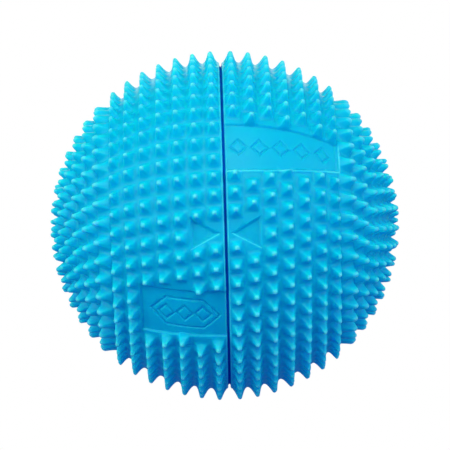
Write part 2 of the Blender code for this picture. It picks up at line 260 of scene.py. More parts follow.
def piece_from_bmesh(name, bm, finish, sign=1.0, sharp_angle=SHARP_ANGLE):
    """A smooth-shaded piece, reflected to the left half where sign is -1."""
    if sign < 0:
        bmesh.ops.scale(bm, vec=(-1, 1, 1), verts=bm.verts)
    bmesh.ops.recalc_face_normals(bm, faces=bm.faces)
    mesh = bpy.data.meshes.new(name)
    bm.to_mesh(mesh)
    bm.free()
    mesh.materials.append(finish)
    mesh.shade_smooth()
    mesh.set_sharp_from_angle(angle=math.radians(sharp_angle))
    piece = bpy.data.objects.new(name, mesh)
    bpy.context.scene.collection.objects.link(piece)
    return piece


def softened(corners):
    """A closed profile of (x, r) from corners (x, r, setback), each rounded from its setback."""
    profile = []
    for i, (x, r, setback) in enumerate(corners):
        here = Vector((x, r))
        before = Vector(corners[i - 1][:2]) - here
        after = Vector(corners[(i + 1) % len(corners)][:2]) - here
        start, end = here + before.normalized() * setback, here + after.normalized() * setback
        for k in range(BREAK_STEPS + 1) if setback else (0,):
            t = k / BREAK_STEPS
            profile.append(tuple(start * (1 - t) ** 2 + here * 2 * t * (1 - t) + end * t ** 2))
    return profile


def plain(points):
    """Profile points as corners that stay sharp."""
    return [(x, r, 0.0) for x, r in points]


def add_turned(bm, profile, steps, centre=(0.0, 0.0), ridge=None):
    """A solid turned from a closed profile about an axis along X through centre (y, z).

    ridge(x, azimuth), if given, is added to the radius.
    """
    rows = []
    for x, r in profile:
        if r < ROUND_OFF:
            rows.append([bm.verts.new((x, *centre))] * steps)
            continue
        row = []
        for i in range(steps):
            azimuth = 360.0 * i / steps
            y, z = on_circle(r + ridge(x, azimuth) if ridge else r, azimuth)
            row.append(bm.verts.new((x, centre[0] + y, centre[1] + z)))
        rows.append(row)
    for low, high in zip(rows, rows[1:] + rows[:1]):
        for i in range(steps):
            j = (i + 1) % steps
            corners = list(dict.fromkeys((low[i], low[j], high[j], high[i])))
            if len(corners) > 2:
                bm.faces.new(corners)
    bmesh.ops.recalc_face_normals(bm, faces=bm.faces)
    return bm


def rod(bm, radius, start, end, centre):
    add_turned(bm, [(start, 0.0), (start, radius), (end, radius), (end, 0.0)], SMALL_STEPS, centre)


def combined(bm, tool, operation):
    """The solid bm after a Boolean operation with the solids in tool. Both are used up."""
    objects = []
    for part in (bm, tool):
        bmesh.ops.recalc_face_normals(part, faces=part.faces)
        mesh = bpy.data.meshes.new("raw")
        part.to_mesh(mesh)
        part.free()
        objects.append(bpy.data.objects.new("raw", mesh))
        bpy.context.scene.collection.objects.link(objects[-1])
    modifier = objects[0].modifiers.new("combine", "BOOLEAN")
    modifier.operation = operation
    modifier.solver = "EXACT"
    modifier.object = objects[1]
    result = bmesh.new()
    result.from_mesh(objects[0].evaluated_get(bpy.context.evaluated_depsgraph_get()).data)
    for item in objects:
        bpy.data.meshes.remove(item.data)
    return result


def place_piece(piece, body, node):
    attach(piece, body)
    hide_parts(node)


# ---- spiked cover -------------------------------------------------------------------------------
def band_feet(theta):
    """The thetas of a band spike's feet; its lean keeps its outer side nearly square to X."""
    lean = math.radians(min(theta, BAND_MAX_LEAN))
    along = TIP_RADIUS * math.cos(lean - math.radians(theta))
    length = along - math.sqrt(along ** 2 - TIP_RADIUS ** 2 + BASE_RADIUS ** 2)
    middle = angle_at(BASE_RADIUS, TIP_RADIUS * math.sin(math.radians(theta))
                      - length * math.sin(lean))
    half = RING_PITCH * FOOT_SHARE / 2
    return middle - half, middle + half


def cap_feet(theta):
    """The thetas of a cap spike's feet; its seam side runs no steeper than along X."""
    half = RING_PITCH * FOOT_SHARE / 2
    level = math.degrees(math.acos(TIP_RADIUS * math.cos(math.radians(theta)) / BASE_RADIUS))
    return min(theta - half, level), theta + half


def spike_rings():
    """One dictionary for each ring: its tips' theta, its feet, its cell's edges and its count."""
    rings = []
    for start, counts, feet in ((BAND_START, BAND_COUNTS, band_feet),
                                (CAP_START, CAP_COUNTS, cap_feet)):
        for k, count in enumerate(counts):
            theta = start + RING_PITCH * k
            low, high = feet(theta)
            rings.append({"tip": theta, "low": low, "high": high, "count": count})
    shoulder = angle_at(BASE_RADIUS, HALF_SEAM + RIM_ROUND)
    edges = [shoulder] + [(a["high"] + b["low"]) / 2 for a, b in zip(rings, rings[1:])] + [90.0]
    for ring, near, far in zip(rings, edges, edges[1:]):
        room = FILLET * (ring["high"] - ring["low"]) / 2
        ring["cell_low"] = max(ring["low"] - room, near + CELL_MARGIN)
        ring["cell_high"] = min(ring["high"] + room, far - CELL_MARGIN)
    return rings


def spike_loops(foot, tip):
    """(scale, height, roundness) of the loops of points up a spike, whose height is 1.

    Scale 1 is the straight sides' foot. A fillet runs out below it, and the tip is a small ball.
    The exponents foot and tip say how square the spike's section is at its foot and below its tip.
    """
    half_width = 0.5 * FOOT_SHARE * math.radians(RING_PITCH) * BASE_RADIUS / SPIKE_HEIGHT
    apex = 1.0
    for _ in range(APEX_ROUNDS):
        half_angle = math.atan(half_width / apex)
        apex = 1.0 + TIP_ROUND * (1.0 / math.sin(half_angle) - 1.0)
    loops = [(1.0 + FILLET, 0.0, None)]
    for scale in (1.0 + FILLET / 2, 1.0, 1.0 - FILLET / 2, 1.0 - FILLET):
        loops.append((scale, apex * (1.0 + FILLET - scale) ** 2 / (4.0 * FILLET), foot))
    ball_centre = 1.0 - TIP_ROUND
    for share in TIP_LOOPS:
        turn = share * (math.pi / 2 - half_angle)
        loops.append((TIP_ROUND * math.sin(turn) / half_width,
                      ball_centre + TIP_ROUND * math.cos(turn), 2.0 + (tip - 2.0) * share))
    directions = loop_directions()
    return [(scale, height, loop_points(roundness, directions))
            for scale, height, roundness in loops]


def loop_directions():
    """Directions round a spike: for each of its sides the first corner and three points."""
    lean = math.degrees(math.atan(SIDE_POINT))
    angles = [90.0 * side + offset for side in range(4) for offset in (-45.0, -lean, 0.0, lean)]
    return [(math.cos(math.radians(a)), math.sin(math.radians(a))) for a in angles]


def loop_points(roundness, directions):
    """A unit square with rounded corners; with roundness None its corners are sharp."""
    points = []
    for c, s in directions:
        if roundness is None:
            reach = max(abs(c), abs(s))
        else:
            reach = (abs(c) ** roundness + abs(s) ** roundness) ** (1.0 / roundness)
        points.append((c / reach, s / reach))
    return points


def add_spike(bm, ring, azimuth, loops, standing, scatter):
    """One spike on its cell of the base sphere, or the bare cell. Returns its outer loop."""
    middle = (ring["low"] + ring["high"]) / 2
    half_theta = (ring["high"] - ring["low"]) / 2
    half_azimuth = FOOT_SHARE * 180.0 / ring["count"]
    foot = on_sphere(BASE_RADIUS, middle, azimuth)
    tip = on_sphere(TIP_RADIUS, ring["tip"], azimuth) + scatter
    axis = tip - foot if standing else Vector()
    rows = []
    for scale, height, points in loops:
        row = []
        for s, t in points:
            theta = middle + s * scale * half_theta
            theta = min(max(theta, ring["cell_low"]), ring["cell_high"])
            place = on_sphere(BASE_RADIUS, theta, azimuth + t * scale * half_azimuth)
            row.append(bm.verts.new(place + axis * height))
        rows.append(row)
    for lower, upper in zip(rows, rows[1:]):
        for i in range(len(lower)):
            j = (i + 1) % len(lower)
            bm.faces.new((lower[i], lower[j], upper[j], upper[i]))
    top = bm.verts.new(foot + axis)
    for a, b in zip(rows[-1], rows[-1][1:] + rows[-1][:1]):
        bm.faces.new((a, b, top))
    return rows[0]


def add_ring(bm, ring, start, loops, has_spike, dice):
    """A ring of spikes and the valleys between them. Returns its rows of (azimuth, vertex)."""
    step = 360.0 / ring["count"]
    half_cell = FOOT_SHARE * (1.0 + FILLET) * step / 2
    first = (start - half_cell) % step + half_cell
    cells = []
    for i in range(ring["count"]):
        azimuth = first + step * i
        scatter = Vector(dice.uniform(-TIP_SCATTER, TIP_SCATTER) for _ in range(3))
        scatter -= scatter.project(on_sphere(1.0, ring["tip"], azimuth))
        standing = has_spike(ring["tip"], (azimuth + 180.0) % 360.0 - 180.0)
        cells.append((azimuth, add_spike(bm, ring, azimuth, loops, standing, scatter)))
    for (_, cell), (_, following) in zip(cells, cells[1:] + cells[:1]):
        near = [cell[k] for k in NEXT_SIDE]
        far = [following[k] for k in LAST_SIDE]
        for a, b, c, d in zip(near, far, far[1:], near[1:]):
            bm.faces.new((a, b, c, d))
    offsets = (-1.0, -SIDE_POINT, 0.0, SIDE_POINT, 1.0)
    low = [(azimuth + u * half_cell, cell[k])
           for azimuth, cell in cells for u, k in zip(offsets, SEAM_SIDE)]
    high = [(azimuth + u * half_cell, cell[k])
            for azimuth, cell in cells for u, k in zip(offsets, POLE_SIDE)]
    return low, high


def rim_profile():
    """The rim of a cover from inside to outside: (x, radius, 1 where the groove's floor gets
    painted shade, strength of the painted highlight on the lips).
    """
    floor_top = CONTACT_RADIUS + HALF_SEAM
    rim = [(HALF_CONTACT, CONTACT_RADIUS - GROOVE_EDGE, 0.0, 0.0),
           (HALF_CONTACT, CONTACT_RADIUS, 1.0, 0.0),
           (HALF_SEAM, floor_top, 1.0, 0.0),
           (HALF_SEAM, floor_top + GROOVE_EDGE, 0.0, 0.0)]
    for share, lip_highlight in SEAM_LIP:
        turn = math.radians(90.0 * share)
        rim.append((HALF_SEAM + RIM_ROUND * (1.0 - math.cos(turn)),
                    BASE_RADIUS - RIM_ROUND * (1.0 - math.sin(turn)), 0.0, lip_highlight))
    return rim


def add_inner_face_and_rim(bm):
    """The cover's plain inside, from its pole to the seam, and its rim. Returns the last row."""
    crest, groove = bm.verts.layers.float[EDGE_HIGHLIGHT], bm.verts.layers.float[GROOVE_SHADE_MASK]
    inner_edge = angle_at(COVER_INNER, HALF_CONTACT)
    inner = [turned_row(bm, x, r, INNER_STEPS)
             for x, r in arc(COVER_INNER, INNER_POLE, inner_edge, COVER_ARC_STEPS)]
    close_pole(bm, inner[0], COVER_INNER)
    for near, far in zip(inner, inner[1:]):
        zip_rows(bm, near, far)
    last = inner[-1]
    for x, radius, is_floor, lip_highlight in rim_profile():
        row = turned_row(bm, x, radius, RIM_STEPS)
        # painted shade on the groove's floor, and a painted highlight on the rounded lips
        for _, vert in row:
            vert[groove] = is_floor
            vert[crest] = lip_highlight
        zip_rows(bm, last, row)
        last = row
    return last


def ring_start(side, count):
    """The azimuth of a ring's first spike."""
    if side == "right":
        return RING_START[side]
    return RING_START[side] + 180.0 / count


def cover_bmesh(side):
    """A half's cover, on the +X side: spiked outside, plain inside, with a rounded rim."""
    bm = bmesh.new()
    bm.verts.layers.float.new(EDGE_HIGHLIGHT)
    bm.verts.layers.float.new(GROOVE_SHADE_MASK)
    band_loops = spike_loops(*BAND_SQUARENESS)
    cap_loops = spike_loops(*CAP_SQUARENESS)
    dice = random.Random(side)
    last = add_inner_face_and_rim(bm)
    for ring in spike_rings():
        loops = band_loops if ring["tip"] < CAP_START else cap_loops
        low, high = add_ring(bm, ring, ring_start(side, ring["count"]), loops,
                             lambda theta, azimuth: not is_bare(side, theta, azimuth), dice)
        zip_rows(bm, last, low)
        last = high
    close_pole(bm, last, BASE_RADIUS)
    return bm


# ---- recesses moulded in the cover --------------------------------------------------------------
# An outline is a list of (normal, offset): a point p is inside where normal.p < offset for all.
def panel_outline(side):
    panel = PANELS[side]
    outline = [(Vector((1.0, 0.0, 0.0)), panel["reach"])]
    for edge, sign in (("high", 1.0), ("low", -1.0)):
        start, slope = panel[edge]
        normal = sign * Vector((0.0, *on_circle(1.0, slope + 90.0)))
        outline.append((normal, normal.dot(on_sphere(BASE_RADIUS, 0.0, start))))
    return outline


def arrow_outline():
    """A triangle at the front whose apex points at the seam."""
    outline = [(Vector((1.0, 0.0, 0.0)), ARROW_APEX + ARROW_LENGTH)]
    for sign in (1.0, -1.0):
        normal = Vector((-ARROW_HALF_WIDTH, 0.0, sign * ARROW_LENGTH)).normalized()
        outline.append((normal, normal.x * ARROW_APEX))
    return outline


def mark_outline(theta, azimuth, sides):
    """A flat shape round a place on the cover, from (direction, distance) of each side."""
    centre = on_sphere(BASE_RADIUS, theta, azimuth)
    along = on_sphere(1.0, theta + 90.0, azimuth)
    across = centre.normalized().cross(along)
    outline = []
    for direction, distance in sides:
        turn = math.radians(direction)
        normal = math.cos(turn) * along + math.sin(turn) * across
        outline.append((normal, normal.dot(centre) + distance))
    return outline


def slanted_sides(half_length, inset):
    """The four sides of a diamond, or of the frame's pointed ends, moved in by inset."""
    distance = half_length * math.cos(math.radians(45.0)) - inset
    return [(turn, distance) for turn in (45.0, 135.0, 225.0, 315.0)]


def depth_inside(point, outline):
    return min(offset - normal.dot(point) for normal, offset in outline)


def is_bare(side, theta, azimuth):
    """True where a recess leaves out the spike that would stand there."""
    place = on_sphere(BASE_RADIUS, theta, azimuth)
    if place.y > 0.0:
        return False
    return (depth_inside(place, panel_outline(side)) > 0.0
            or depth_inside(place, arrow_outline()) > -ARROW_CLEARANCE)


def cut_parallel(bm, outline, insets, reach):
    """Cuts the front surface along lines inside (or, if negative, outside) an outline."""
    faces = [f for f in bm.faces
             if f.calc_center_median().y < 0.0
             and min(v.co.length for v in f.verts) > COVER_INNER + RIM_ROUND
             and max(depth_inside(v.co, outline) for v in f.verts) > -reach]
    geometry = list({g for f in faces for g in (f, *f.edges, *f.verts)})
    for normal, offset in outline:
        for inset in insets:
            cut = bmesh.ops.bisect_plane(bm, geom=geometry, dist=CUT_ROUND_OFF, plane_no=normal,
                                         plane_co=normal * (offset - inset))
            geometry = cut["geom"]
    return [g for g in geometry if isinstance(g, bmesh.types.BMVert)]


def share_at(inside, steps):
    """The share that belongs to a distance, from steps of (distance, share)."""
    for (near, low), (far, high) in zip(steps, steps[1:]):
        if near <= inside < far:
            return low + (high - low) * (inside - near) / (far - near)
    return steps[0][1] if inside < steps[0][0] else steps[-1][1]


def in_groove(place):
    """True on the walls of the seam's groove, which the recesses leave alone."""
    return (place.x < HALF_SEAM + ROUND_OFF
            and place.length < BASE_RADIUS - RIM_ROUND - LIP_MARGIN)


def press_to(bm, outline, radius, wall, lip=LIP, reach=EDGE_REACH):
    """Moves the front surface inside an outline to a radius, with a soft-edged wall round it."""
    top, middle, foot = WALL_DEPTHS
    steps = ((-lip, 0.0), (0.0, top), (wall / 2, middle), (wall, foot), (wall + lip, 1.0))
    for vert in cut_parallel(bm, outline, [inset for inset, _ in steps], reach):
        inside = depth_inside(vert.co, outline)
        if inside <= -lip or in_groove(vert.co):
            continue
        present = vert.co.length
        below_rim = 0.0
        if vert.co.x < HALF_SEAM + RIM_ROUND:
            below_rim = max(0.0, BASE_RADIUS - ROUND_OFF - present)
        target = radius - below_rim
        vert.co *= (present + (target - present) * share_at(inside, steps)) / present


def raise_rim(bm):
    """Raises a low soft rim outside the right panel's lower wall and end, and marks a painted
    highlight, in patches, on its crest.
    """
    crest = bm.verts.layers.float[EDGE_HIGHLIGHT]
    outline = panel_outline("right")
    end_side, high_side, low_side = outline
    for vert in cut_parallel(bm, outline, [inset for inset, _ in RAISED_RIM], 2 * EDGE_REACH):
        inside = depth_inside(vert.co, [end_side, low_side])
        below_top = depth_inside(vert.co, [high_side])
        if (RAISED_RIM[0][0] < inside < RAISED_RIM[-1][0] and below_top > 0.0
                and vert.co.x > HALF_SEAM + RIM_ROUND):
            share = share_at(inside, RAISED_RIM) * min(below_top / RIM_FADE, 1.0)
            present = vert.co.length
            vert.co *= max(present, BASE_RADIUS + RAISED_RIM_HEIGHT * share) / present
            patch = CREST_MEAN + CREST_SWING * noise.noise(vert.co * CREST_PATCHES)
            vert[crest] = share * min(max(patch, 0.0), 1.0)


def paint_lip_highlight(bm, outline):
    """Marks a painted highlight on the lip of an outline's last side, its lower wall."""
    crest = bm.verts.layers.float[EDGE_HIGHLIGHT]
    for vert in bm.verts:
        on_lip = abs(depth_inside(vert.co, outline[-1:])) < LIP / 2
        beside = depth_inside(vert.co, outline[:-1]) > 0.0
        if on_lip and beside and vert.co.y < 0.0 and vert.co.length > BASE_RADIUS - ARROW_DEPTH:
            vert[crest] = ARROW_LIP_HIGHLIGHT


def middle_azimuth(side, theta):
    """The azimuth midway between a panel's two walls."""
    total = 0.0
    for edge in ("low", "high"):
        start, slope = PANELS[side][edge]
        offset = math.sin(math.radians(start - slope)) / math.cos(math.radians(theta))
        total += slope + math.degrees(math.asin(offset))
    return total / 2


def engrave(bm, side, x, sides_at):
    """A line engraved in a panel's floor round the middle of the panel at x."""
    theta = angle_at(BASE_RADIUS, x)
    azimuth = middle_azimuth(side, theta)
    panel_floor = BASE_RADIUS - PANEL_DEPTH
    for inset, radius in ((0.0, panel_floor - MARK_DEPTH), (MARK_LINE, panel_floor)):
        outline = mark_outline(theta, azimuth, sides_at(inset))
        press_to(bm, outline, radius, MARK_WALL, MARK_LIP, MARK_REACH)


def press_recesses(bm, side):
    """The panel with its raised rim and engraved shapes, and the arrow beside the seam."""
    panel_floor = BASE_RADIUS - PANEL_DEPTH
    if side == "right":
        raise_rim(bm)
    press_to(bm, panel_outline(side), panel_floor, PANEL_WALL)
    press_to(bm, arrow_outline(), BASE_RADIUS - ARROW_DEPTH, ARROW_WALL)
    # painted highlight along the arrow's lower lip
    paint_lip_highlight(bm, arrow_outline())
    if side == "left":
        engrave(bm, side, FRAME_X, lambda inset: slanted_sides(FRAME_HALF_LENGTH, inset) + [
            (90.0, FRAME_HALF_HEIGHT - inset), (270.0, FRAME_HALF_HEIGHT - inset)])
    for x in DIAMONDS[side]:
        engrave(bm, side, x, lambda inset: slanted_sides(DIAMOND_HALF_DIAGONAL, inset))


def build_cover(side, finish):
    bm = cover_bmesh(side)
    press_recesses(bm, side)
    cover = piece_from_bmesh(side + "_spiked_cover", bm, finish, SIDES[side])
    place_piece(cover, side + "_half", side + "_cover")


# ---- pieces inside ------------------------------------------------------------------------------
def node_centre(node):
    low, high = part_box(node)
    return (low + high) / 2


def fitting_centres(kind, count):
    """The (y, z) of each magnet's or screw's axis on the right half."""
    centres = [node_centre(f"right_{kind}_{number}") for number in range(1, count + 1)]
    return [(centre.y, centre.z) for centre in centres]


def shell_bmesh():
    """A dome with a ledge for the face plate and three hollow posts for its screws."""
    ledge = BACK_FACE + GAP
    outer = arc(SHELL_OUTER, angle_at(SHELL_OUTER, HALF_SEAM), 90.0, SHELL_ARC_STEPS)
    inner_end = math.degrees(math.acos(PLATE_LEDGE / SHELL_INNER))
    corners = [(*outer[0], EDGE_BREAK)] + plain(outer[1:])
    corners += plain(arc(SHELL_INNER, 90.0, inner_end, SHELL_INNER_ARC_STEPS))
    corners += [(ledge, PLATE_LEDGE, EDGE_BREAK), (ledge, PLATE_RADIUS + GAP, 0.0),
                (HALF_SEAM, PLATE_RADIUS + GAP, EDGE_BREAK)]
    shell = add_turned(bmesh.new(), softened(corners), TURN_STEPS)
    posts, holes = bmesh.new(), bmesh.new()
    for centre in fitting_centres("screw", SCREWS):
        rod(posts, POST_RADIUS, ledge, POST_END, centre)
        rod(holes, SCREW_SHANK + GAP, 0.0, HALF_SEAM + SCREW_LENGTH + OVERSHOOT, centre)
    return combined(combined(shell, posts, "UNION"), holes, "DIFFERENCE")


def plate_bmesh():
    """The flat face, its bowl for the core ball, magnet sockets behind and countersunk holes."""
    bowl = arc(BOWL_RADIUS, 90.0, angle_at(BOWL_RADIUS, HALF_SEAM), BOWL_ARC_STEPS)
    corners = [(HALF_SEAM, PLATE_RADIUS, EDGE_BREAK), (BACK_FACE, PLATE_RADIUS, EDGE_BREAK)]
    corners += plain(arc(BOWL_OUTER, angle_at(BOWL_OUTER, BACK_FACE), 90.0,
                         BOWL_OUTER_ARC_STEPS))
    corners += plain(bowl[:-2]) + [(*bowl[-1], BOWL_LIP)]
    plate = add_turned(bmesh.new(), softened(corners), TURN_STEPS)
    socket_end = MAGNET_FACE + GAP + MAGNET_THICKNESS + GAP
    pocket = MAGNET_RADIUS + GAP
    walls, cuts = bmesh.new(), bmesh.new()
    for centre in fitting_centres("magnet", MAGNETS):
        rod(walls, pocket + SOCKET_WALL, BACK_FACE - OVERSHOOT, socket_end, centre)
        rod(cuts, pocket, MAGNET_FACE, socket_end + OVERSHOOT, centre)
    mouth = SCREW_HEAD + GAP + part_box("right_screw_1")[0].x
    bore = SCREW_SHANK + GAP
    end = BACK_FACE + OVERSHOOT
    for centre in fitting_centres("screw", SCREWS):
        add_turned(cuts, [(0.0, 0.0), (0.0, mouth), (mouth - bore, bore), (end, bore),
                          (end, 0.0)], SMALL_STEPS, centre)
    return combined(combined(plate, walls, "UNION"), cuts, "DIFFERENCE")


def magnet_bmesh():
    half = MAGNET_THICKNESS / 2
    corners = [(-half, 0.0, 0.0), (-half, MAGNET_RADIUS, EDGE_BREAK),
               (half, MAGNET_RADIUS, EDGE_BREAK), (half, 0.0, 0.0)]
    return add_turned(bmesh.new(), softened(corners), SMALL_STEPS)


def thread_ridge(x, azimuth):
    """How far a right-handed thread's flank lies below its crest, past the screw's cone."""
    if x < SCREW_HEAD - SCREW_SHANK + THREAD_PITCH / 2:
        return 0.0
    turn = (x / THREAD_PITCH + azimuth / 360.0) % 1.0
    return -THREAD_DEPTH * abs(2.0 * turn - 1.0)


def screw_profile():
    """Half of a screw's outline along +X, as (x, r) from the middle of its head to its point."""
    cone = SCREW_HEAD - SCREW_SHANK
    threaded = SCREW_LENGTH - SCREW_TIP - cone
    taper = SCREW_SHANK - SCREW_TIP_RADIUS
    profile = [(0.0, 0.0), (0.0, SCREW_HEAD - HEAD_BREAK),
               (HEAD_BREAK, SCREW_HEAD - HEAD_BREAK_LOW)]
    steps = int(threaded / (THREAD_PITCH / THREAD_STEPS))
    profile += [(cone + threaded * k / steps, SCREW_SHANK) for k in range(steps + 1)]
    profile += [(SCREW_LENGTH - SCREW_TIP * (1 - k / SCREW_TIP_STEPS),
                 SCREW_SHANK - taper * k / SCREW_TIP_STEPS) for k in range(1, SCREW_TIP_STEPS)]
    return profile + [(SCREW_LENGTH, 0.0)]


def cross_arm(turn):
    """A tapered bar that cuts one arm of the cross recess, turned about the screw's axis."""
    arm = bmesh.new()
    bmesh.ops.create_cube(arm, size=2.0)
    for vert in arm.verts:
        if vert.co.x > 0.0:
            x, (length, width) = CROSS_DEPTH, CROSS_FOOT
        else:
            x, (length, width) = -CROSS_DEPTH, CROSS_ABOVE
        vert.co = (x, vert.co.y * (CROSS_REACH * length), vert.co.z * (CROSS_HALF_WIDTH * width))
    bmesh.ops.rotate(arm, cent=(0, 0, 0), verts=arm.verts,
                     matrix=Matrix.Rotation(math.radians(turn), 3, "X"))
    return arm


def screw_bmesh():
    """A countersunk screw along +X from its head at x = 0, with a thread and a cross recess."""
    screw = add_turned(bmesh.new(), screw_profile(), SMALL_STEPS, ridge=thread_ridge)
    for turn in (0.0, 90.0):
        screw = combined(screw, cross_arm(turn), "DIFFERENCE")
    return screw


def core_bmesh():
    """The smooth core ball, with the fine parting line of its mould in the seam plane."""
    edge = angle_at(CORE_RADIUS, PARTING_HALF_WIDTH)
    profile = arc(CORE_RADIUS, -90.0, -edge, CORE_ARC_STEPS)
    profile.append((0.0, CORE_RADIUS - PARTING_DEPTH))
    profile += arc(CORE_RADIUS, edge, 90.0, CORE_ARC_STEPS)
    return add_turned(bmesh.new(), profile, TURN_STEPS)


def build_inside(finishes):
    shell, plate, magnet, screw = shell_bmesh(), plate_bmesh(), magnet_bmesh(), screw_bmesh()
    for side, sign in SIDES.items():
        body = side + "_half"
        piece = piece_from_bmesh(side + "_inner_dome", shell.copy(), finishes["shell"], sign)
        place_piece(piece, body, side + "_shell")
        piece = piece_from_bmesh(side + "_plate_with_bowl", plate.copy(), finishes["plate"], sign,
                                 PLATE_SHARP_ANGLE)
        place_piece(piece, body, side + "_face_plate")
        for number in range(1, MAGNETS + 1):
            node = f"{side}_magnet_{number}"
            piece = piece_from_bmesh(f"{side}_disc_magnet_{number}", magnet.copy(),
                                     finishes["magnet"])
            piece.location = node_centre(node)
            place_piece(piece, body, node)
        for number in range(1, SCREWS + 1):
            node = f"{side}_screw_{number}"
            piece = piece_from_bmesh(f"{side}_cross_screw_{number}", screw.copy(),
                                     finishes["screw"], sharp_angle=SCREW_SHARP_ANGLE)
            centre = node_centre(node)
            piece.location = (centre.x - sign * SCREW_LENGTH / 2, centre.y, centre.z)
            piece.rotation_euler.z = 0.0 if sign > 0 else math.pi
            place_piece(piece, body, node)
    for part in (shell, plate, magnet, screw):
        part.free()
    ball = piece_from_bmesh("smooth_core_ball", core_bmesh(), finishes["core"])
    place_piece(ball, "core", "core_ball")


# ---- materials ----------------------------------------------------------------------------------
COVER_CYAN = (0.0, 0.62, 0.84)
# Colours of the rubber by distance from the centre: painted shade, darker and bluer, down in the
# valleys, and a painted glow at the thin tips, standing in for the light they let through.
VALLEY_RADIUS = BASE_RADIUS + 0.0001
RUBBER_SHADE_AND_GLOW_STOPS = ((0.0, (0.0, 0.54, 0.805)), (0.7, (0.0, 0.67, 0.845)), (1.0, (0.12, 0.76, 0.96)))
# painted shade on the floor of the seam's groove
GROOVE_PAINTED_SHADE = (0.0, 0.18, 0.85)
# painted highlight on raised and rounded edges
EDGE_HIGHLIGHT_CYAN = (0.10, 0.86, 1.0)
SHELL_NAVY = (0.02, 0.12, 0.32)
PLATE_BLUE = (0.0, 0.32, 0.60)
NICKEL = (0.75, 0.74, 0.72)
ZINC = (0.60, 0.60, 0.61)
CORE_BLUE = (0.0, 0.45, 0.75)
CORE_CLOUDS = ((0.0, 0.40, 0.68), (0.0, 0.47, 0.77))
FLOW_SHADE = 0.88                # brightness of the flow marks in plastic
CLOUD_SHADE = 0.8                # brightness of the clouds in a metal's plating
LIGHT_REACH = (0.2, 0.5, 1.0)    # red, green and blue light's way inside rubber, in proportion
NOISE_SPAN = (0.3, 0.7)          # most of a noise's values lie between these


class Finish:
    """A material under construction: its Principled shader and short ways to add nodes."""

    def __init__(self, name, colour, roughness, metallic=0.0):
        self.material = bpy.data.materials.new(name)
        self.material.use_nodes = True
        self.tree = self.material.node_tree
        self.shader = self.tree.nodes["Principled BSDF"]
        self.set("Base Color", (*colour, 1.0))
        self.set("Roughness", roughness)
        self.set("Metallic", metallic)
        self.material.diffuse_color = (*colour, 1.0)
        self.place = self.tree.nodes.new("ShaderNodeTexCoord").outputs["Object"]

    def set(self, socket, value):
        self.shader.inputs[socket].default_value = value

    def noise(self, scale, detail=2.0):
        """Noise over the object, with scale in cycles per metre."""
        node = self.tree.nodes.new("ShaderNodeTexNoise")
        node.inputs["Scale"].default_value = scale
        node.inputs["Detail"].default_value = detail
        self.tree.links.new(self.place, node.inputs["Vector"])
        return node.outputs["Fac"]

    def radial(self, low, high):
        """0 at the low and 1 at the high distance from the ball's centre."""
        length = self.tree.nodes.new("ShaderNodeVectorMath")
        length.operation = "LENGTH"
        spread = self.tree.nodes.new("ShaderNodeMapRange")
        spread.inputs["From Min"].default_value = low
        spread.inputs["From Max"].default_value = high
        self.tree.links.new(self.place, length.inputs[0])
        self.tree.links.new(length.outputs["Value"], spread.inputs["Value"])
        return spread.outputs["Result"]

    def stops(self, source, stops):
        """Maps a value to colours, from a list of (position, colour)."""
        node = self.tree.nodes.new("ShaderNodeValToRGB")
        self.tree.links.new(source, node.inputs["Fac"])
        elements = node.color_ramp.elements
        for _ in stops[2:]:
            elements.new(1.0)
        for element, (position, colour) in zip(elements, stops):
            element.position = position
            element.color = (*colour, 1.0)
        return node.outputs["Color"]

    def ramp(self, source, low, high):
        """Maps the span of a noise to colours or greys from low to high."""
        node = self.tree.nodes.new("ShaderNodeValToRGB")
        self.tree.links.new(source, node.inputs["Fac"])
        for element, position, value in zip(node.color_ramp.elements, NOISE_SPAN, (low, high)):
            element.position = position
            element.color = (*value, 1.0) if isinstance(value, tuple) else (value,) * 3 + (1.0,)
        return node.outputs["Color"]

    def mix(self, factor, first, second):
        """A colour between the source first, where factor is 0, and the colour second."""
        node = self.tree.nodes.new("ShaderNodeMixRGB")
        node.inputs["Color2"].default_value = (*second, 1.0)
        self.tree.links.new(factor, node.inputs["Fac"])
        self.tree.links.new(first, node.inputs["Color1"])
        return node.outputs["Color"]

    def attribute(self, name):
        """The value that the mesh carries in the attribute of this name."""
        node = self.tree.nodes.new("ShaderNodeAttribute")
        node.attribute_name = name
        return node.outputs["Fac"]

    def drive(self, socket, source):
        self.tree.links.new(source, self.shader.inputs[socket])

    def translucent(self, weight, scale):
        """Lets light travel inside, the blue of it furthest."""
        self.set("Subsurface Weight", weight)
        self.set("Subsurface Radius", LIGHT_REACH)
        self.set("Subsurface Scale", scale)

    def bump(self, source, strength, distance):
        node = self.tree.nodes.new("ShaderNodeBump")
        node.inputs["Strength"].default_value = strength
        node.inputs["Distance"].default_value = distance
        self.tree.links.new(source, node.inputs["Height"])
        self.tree.links.new(node.outputs["Normal"], self.shader.inputs["Normal"])


def cover_finish():
    """Soft moulded rubber: saturated cyan, a little translucent, with a satin skin. Its colour
    holds painted shade in the valleys and the seam's groove, a painted glow at the tips and painted
    highlights on raised and rounded edges.
    """
    finish = Finish("cover_rubber", COVER_CYAN, 0.42)
    # painted shade in the valleys and a painted glow at the tips, by distance from the centre
    rubber = finish.stops(finish.radial(VALLEY_RADIUS, TIP_RADIUS), RUBBER_SHADE_AND_GLOW_STOPS)
    # painted shade on the floor of the seam's groove
    rubber = finish.mix(finish.attribute(GROOVE_SHADE_MASK), rubber, GROOVE_PAINTED_SHADE)
    # painted highlight on the seam's lips, the panel's raised rim and the arrows' lower lips
    finish.drive("Base Color", finish.mix(finish.attribute(EDGE_HIGHLIGHT), rubber, EDGE_HIGHLIGHT_CYAN))
    finish.drive("Roughness", finish.ramp(finish.noise(1400.0), 0.34, 0.44))
    finish.translucent(0.8, 0.0018)
    finish.set("Specular IOR Level", 0.12)
    finish.bump(finish.noise(9000.0, 3.0), 0.25, 0.00002)
    return finish.material


